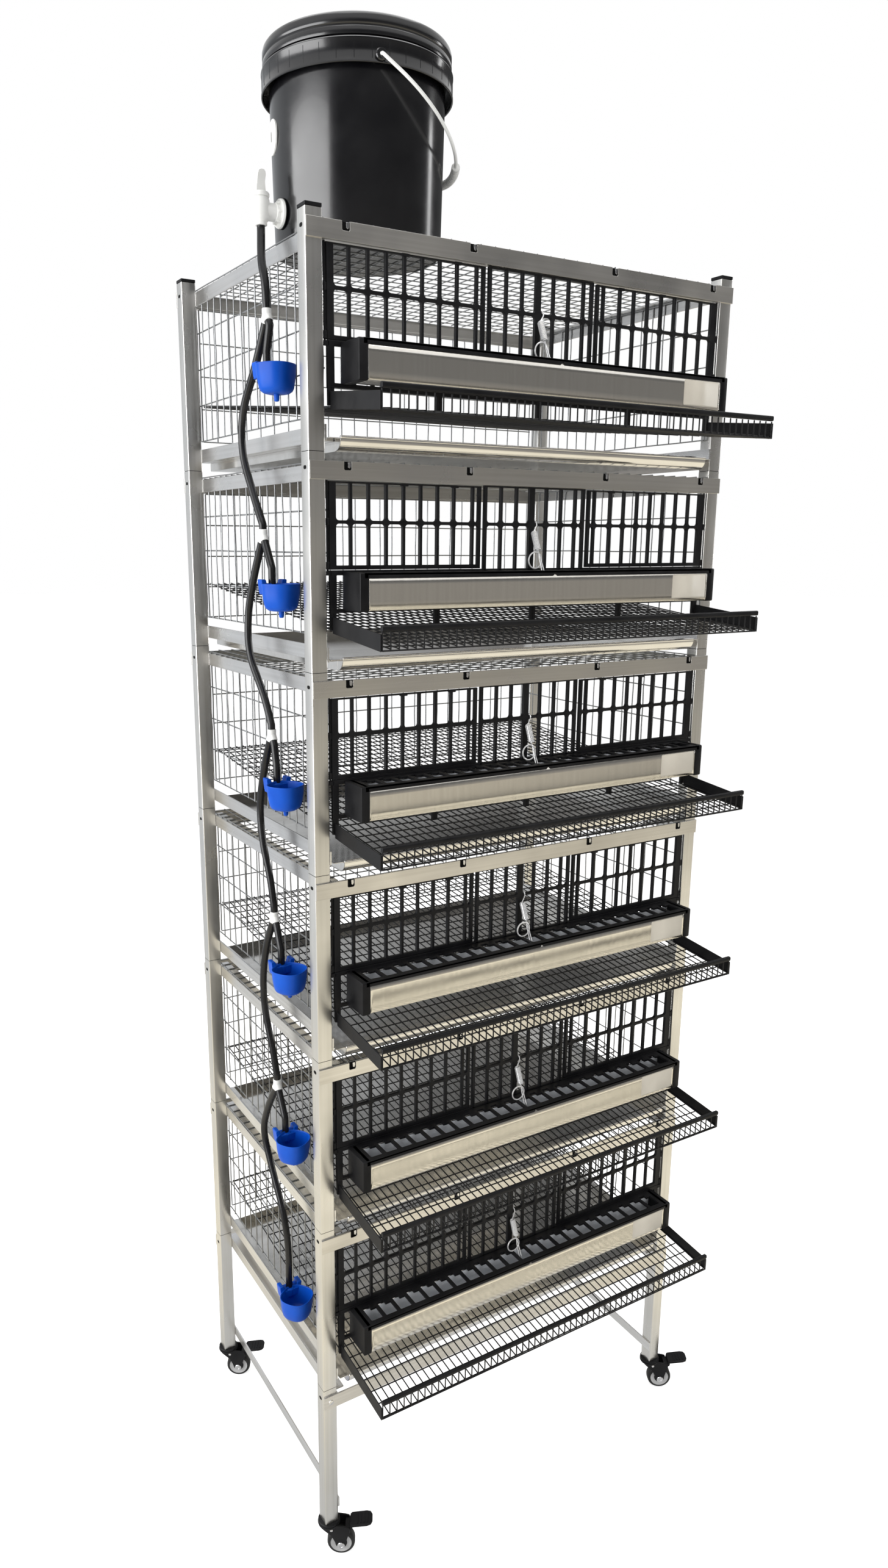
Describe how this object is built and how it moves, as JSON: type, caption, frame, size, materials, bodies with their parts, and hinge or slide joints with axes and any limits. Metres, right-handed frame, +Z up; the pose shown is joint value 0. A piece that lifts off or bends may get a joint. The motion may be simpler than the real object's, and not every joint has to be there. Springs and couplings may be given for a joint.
{
  "type": "tiered quail cage",
  "caption": "Tall tiered quail cage on swivel casters, with wire rooms, hinged grille doors, sloped roll-out egg trays, pull-off feeders, slide-out trays and a pail-fed water line.",
  "frame": {"origin": "floor level under the middle of the four corner posts", "axes": "+X to the right and +Y to the back seen from the front, +Z up"},
  "size_m": [0.8948, 0.6657, 2.4762],
  "materials": {
    "frame_metal": "mill finish",
    "tray_sheet": "bright folded sheet",
    "trough_sheet": "bright folded sheet",
    "galvanised_wire": "galvanised",
    "coated_wire": "black coating",
    "spring_steel": "bright wire",
    "black_moulding": "satin",
    "black_gloss": "gloss",
    "white_moulding": "satin",
    "blue_moulding": "satin",
    "hose_rubber": "satin",
    "wheel_rubber": "matte"
  },
  "bodies": {
    "cage": {"corner_posts": "frame_metal", "post_plugs": "black_moulding", "cross_rails": "frame_metal", "side_rails": "frame_metal", "roof_mesh": "galvanised_wire", "wall_mesh": "galvanised_wire", "floor_mesh": "coated_wire", "egg_tray_edging": "black_moulding", "front_grilles": "black_moulding", "feeder_springs": "spring_steel", "pail": "black_gloss", "valve_body": "white_moulding", "drinker_cups": "blue_moulding", "hose_tees": "white_moulding", "water_hose": "hose_rubber"},
    "left_door_1": {"left_door_1": "black_moulding"},
    "left_door_2": {"left_door_2": "black_moulding"},
    "left_door_3": {"left_door_3": "black_moulding"},
    "left_door_4": {"left_door_4": "black_moulding"},
    "left_door_5": {"left_door_5": "black_moulding"},
    "left_door_6": {"left_door_6": "black_moulding"},
    "right_door_1": {"right_door_1": "black_moulding"},
    "right_door_2": {"right_door_2": "black_moulding"},
    "right_door_3": {"right_door_3": "black_moulding"},
    "right_door_4": {"right_door_4": "black_moulding"},
    "right_door_5": {"right_door_5": "black_moulding"},
    "right_door_6": {"right_door_6": "black_moulding"},
    "droppings_tray_1": {"droppings_tray_1": "tray_sheet"},
    "droppings_tray_2": {"droppings_tray_2": "tray_sheet"},
    "droppings_tray_3": {"droppings_tray_3": "tray_sheet"},
    "droppings_tray_4": {"droppings_tray_4": "tray_sheet"},
    "droppings_tray_5": {"droppings_tray_5": "tray_sheet"},
    "droppings_tray_6": {"droppings_tray_6": "tray_sheet"},
    "feeder_1": {"feeder_trough_1": "trough_sheet", "feeder_top_1": "black_moulding"},
    "feeder_2": {"feeder_trough_2": "trough_sheet", "feeder_top_2": "black_moulding"},
    "feeder_3": {"feeder_trough_3": "trough_sheet", "feeder_top_3": "black_moulding"},
    "feeder_4": {"feeder_trough_4": "trough_sheet", "feeder_top_4": "black_moulding"},
    "feeder_5": {"feeder_trough_5": "trough_sheet", "feeder_top_5": "black_moulding"},
    "feeder_6": {"feeder_trough_6": "trough_sheet", "feeder_top_6": "black_moulding"},
    "caster_front_left": {"caster_fork_front_left": "black_moulding"},
    "wheel_front_left": {"caster_wheel_front_left": "wheel_rubber"},
    "pedal_front_left": {"caster_pedal_front_left": "black_moulding"},
    "caster_front_right": {"caster_fork_front_right": "black_moulding"},
    "wheel_front_right": {"caster_wheel_front_right": "wheel_rubber"},
    "pedal_front_right": {"caster_pedal_front_right": "black_moulding"},
    "caster_back_left": {"caster_fork_back_left": "black_moulding"},
    "wheel_back_left": {"caster_wheel_back_left": "wheel_rubber"},
    "pedal_back_left": {"caster_pedal_back_left": "black_moulding"},
    "caster_back_right": {"caster_fork_back_right": "black_moulding"},
    "wheel_back_right": {"caster_wheel_back_right": "wheel_rubber"},
    "pedal_back_right": {"caster_pedal_back_right": "black_moulding"},
    "pail_lid": {"pail_lid": "black_gloss"},
    "pail_bail": {"pail_bail": "white_moulding"},
    "valve_lever": {"valve_lever": "white_moulding"}
  },
  "joints": [
    {"name": "left_door_1_hinge", "type": "hinge", "parent": "cage", "child": "left_door_1", "pos_m": [-0.3706, -0.253, 2.119], "axis": [0, 0, -1], "range_deg": [0, 100]},
    {"name": "left_door_2_hinge", "type": "hinge", "parent": "cage", "child": "left_door_2", "pos_m": [-0.3706, -0.253, 1.809], "axis": [0, 0, -1], "range_deg": [0, 100]},
    {"name": "left_door_3_hinge", "type": "hinge", "parent": "cage", "child": "left_door_3", "pos_m": [-0.3706, -0.253, 1.499], "axis": [0, 0, -1], "range_deg": [0, 100]},
    {"name": "left_door_4_hinge", "type": "hinge", "parent": "cage", "child": "left_door_4", "pos_m": [-0.3706, -0.253, 1.189], "axis": [0, 0, -1], "range_deg": [0, 100]},
    {"name": "left_door_5_hinge", "type": "hinge", "parent": "cage", "child": "left_door_5", "pos_m": [-0.3706, -0.253, 0.879], "axis": [0, 0, -1], "range_deg": [0, 100]},
    {"name": "left_door_6_hinge", "type": "hinge", "parent": "cage", "child": "left_door_6", "pos_m": [-0.3706, -0.253, 0.569], "axis": [0, 0, -1], "range_deg": [0, 100]},
    {"name": "right_door_1_hinge", "type": "hinge", "parent": "cage", "child": "right_door_1", "pos_m": [0.3706, -0.253, 2.119], "axis": [0, 0, 1], "range_deg": [0, 100]},
    {"name": "right_door_2_hinge", "type": "hinge", "parent": "cage", "child": "right_door_2", "pos_m": [0.3706, -0.253, 1.809], "axis": [0, 0, 1], "range_deg": [0, 100]},
    {"name": "right_door_3_hinge", "type": "hinge", "parent": "cage", "child": "right_door_3", "pos_m": [0.3706, -0.253, 1.499], "axis": [0, 0, 1], "range_deg": [0, 100]},
    {"name": "right_door_4_hinge", "type": "hinge", "parent": "cage", "child": "right_door_4", "pos_m": [0.3706, -0.253, 1.189], "axis": [0, 0, 1], "range_deg": [0, 100]},
    {"name": "right_door_5_hinge", "type": "hinge", "parent": "cage", "child": "right_door_5", "pos_m": [0.3706, -0.253, 0.879], "axis": [0, 0, 1], "range_deg": [0, 100]},
    {"name": "right_door_6_hinge", "type": "hinge", "parent": "cage", "child": "right_door_6", "pos_m": [0.3706, -0.253, 0.569], "axis": [0, 0, 1], "range_deg": [0, 100]},
    {"name": "droppings_tray_1_slide", "type": "slide", "parent": "cage", "child": "droppings_tray_1", "axis": [0, -1, 0], "range_m": [0, 0.45]},
    {"name": "droppings_tray_2_slide", "type": "slide", "parent": "cage", "child": "droppings_tray_2", "axis": [0, -1, 0], "range_m": [0, 0.45]},
    {"name": "droppings_tray_3_slide", "type": "slide", "parent": "cage", "child": "droppings_tray_3", "axis": [0, -1, 0], "range_m": [0, 0.45]},
    {"name": "droppings_tray_4_slide", "type": "slide", "parent": "cage", "child": "droppings_tray_4", "axis": [0, -1, 0], "range_m": [0, 0.45]},
    {"name": "droppings_tray_5_slide", "type": "slide", "parent": "cage", "child": "droppings_tray_5", "axis": [0, -1, 0], "range_m": [0, 0.45]},
    {"name": "droppings_tray_6_slide", "type": "slide", "parent": "cage", "child": "droppings_tray_6", "axis": [0, -1, 0], "range_m": [0, 0.45]},
    {"name": "feeder_1_pull", "type": "slide", "parent": "cage", "child": "feeder_1", "axis": [0, -1, 0], "range_m": [0, 0.05], "stiffness_N_per_m": 60, "springref_m": -0.05, "deforming": ["feeder_springs"]},
    {"name": "feeder_2_pull", "type": "slide", "parent": "cage", "child": "feeder_2", "axis": [0, -1, 0], "range_m": [0, 0.05], "stiffness_N_per_m": 60, "springref_m": -0.05, "deforming": ["feeder_springs"]},
    {"name": "feeder_3_pull", "type": "slide", "parent": "cage", "child": "feeder_3", "axis": [0, -1, 0], "range_m": [0, 0.05], "stiffness_N_per_m": 60, "springref_m": -0.05, "deforming": ["feeder_springs"]},
    {"name": "feeder_4_pull", "type": "slide", "parent": "cage", "child": "feeder_4", "axis": [0, -1, 0], "range_m": [0, 0.05], "stiffness_N_per_m": 60, "springref_m": -0.05, "deforming": ["feeder_springs"]},
    {"name": "feeder_5_pull", "type": "slide", "parent": "cage", "child": "feeder_5", "axis": [0, -1, 0], "range_m": [0, 0.05], "stiffness_N_per_m": 60, "springref_m": -0.05, "deforming": ["feeder_springs"]},
    {"name": "feeder_6_pull", "type": "slide", "parent": "cage", "child": "feeder_6", "axis": [0, -1, 0], "range_m": [0, 0.05], "stiffness_N_per_m": 60, "springref_m": -0.05, "deforming": ["feeder_springs"]},
    {"name": "caster_front_left_swivel", "type": "hinge", "parent": "cage", "child": "caster_front_left", "pos_m": [-0.3873, -0.2448, 0.072], "axis": [0, 0, 1], "continuous": true},
    {"name": "wheel_front_left_spin", "type": "hinge", "parent": "caster_front_left", "child": "wheel_front_left", "pos_m": [-0.36825, -0.2558, 0.025], "axis": [0.5, 0.866, 0], "continuous": true},
    {"name": "pedal_front_left_brake", "type": "hinge", "parent": "caster_front_left", "child": "pedal_front_left", "pos_m": [-0.35872, -0.2613, 0.056], "axis": [0.5, 0.866, 0], "range_deg": [0, 12]},
    {"name": "caster_front_right_swivel", "type": "hinge", "parent": "cage", "child": "caster_front_right", "pos_m": [0.3873, -0.2448, 0.072], "axis": [0, 0, 1], "continuous": true},
    {"name": "wheel_front_right_spin", "type": "hinge", "parent": "caster_front_right", "child": "wheel_front_right", "pos_m": [0.40635, -0.2558, 0.025], "axis": [0.5, 0.866, 0], "continuous": true},
    {"name": "pedal_front_right_brake", "type": "hinge", "parent": "caster_front_right", "child": "pedal_front_right", "pos_m": [0.41588, -0.2613, 0.056], "axis": [0.5, 0.866, 0], "range_deg": [0, 12]},
    {"name": "caster_back_left_swivel", "type": "hinge", "parent": "cage", "child": "caster_back_left", "pos_m": [-0.3873, 0.2448, 0.072], "axis": [0, 0, 1], "continuous": true},
    {"name": "wheel_back_left_spin", "type": "hinge", "parent": "caster_back_left", "child": "wheel_back_left", "pos_m": [-0.36825, 0.2338, 0.025], "axis": [0.5, 0.866, 0], "continuous": true},
    {"name": "pedal_back_left_brake", "type": "hinge", "parent": "caster_back_left", "child": "pedal_back_left", "pos_m": [-0.35872, 0.2283, 0.056], "axis": [0.5, 0.866, 0], "range_deg": [0, 12]},
    {"name": "caster_back_right_swivel", "type": "hinge", "parent": "cage", "child": "caster_back_right", "pos_m": [0.3873, 0.2448, 0.072], "axis": [0, 0, 1], "continuous": true},
    {"name": "wheel_back_right_spin", "type": "hinge", "parent": "caster_back_right", "child": "wheel_back_right", "pos_m": [0.40635, 0.2338, 0.025], "axis": [0.5, 0.866, 0], "continuous": true},
    {"name": "pedal_back_right_brake", "type": "hinge", "parent": "caster_back_right", "child": "pedal_back_right", "pos_m": [0.41588, 0.2283, 0.056], "axis": [0.5, 0.866, 0], "range_deg": [0, 12]},
    {"name": "pail_lid_lift", "type": "slide", "parent": "cage", "child": "pail_lid", "axis": [0, 0, 1], "range_m": [0, 0.12]},
    {"name": "pail_bail_swing", "type": "hinge", "parent": "cage", "child": "pail_bail", "pos_m": [-0.234, -0.098, 2.4232], "axis": [-0.2588, -0.9659, 0], "range_deg": [0, 250]},
    {"name": "valve_lever_turn", "type": "hinge", "parent": "cage", "child": "valve_lever", "pos_m": [-0.39372, -0.098, 2.2632], "axis": [0, 0, 1], "range_deg": [0, 90]}
  ]
}
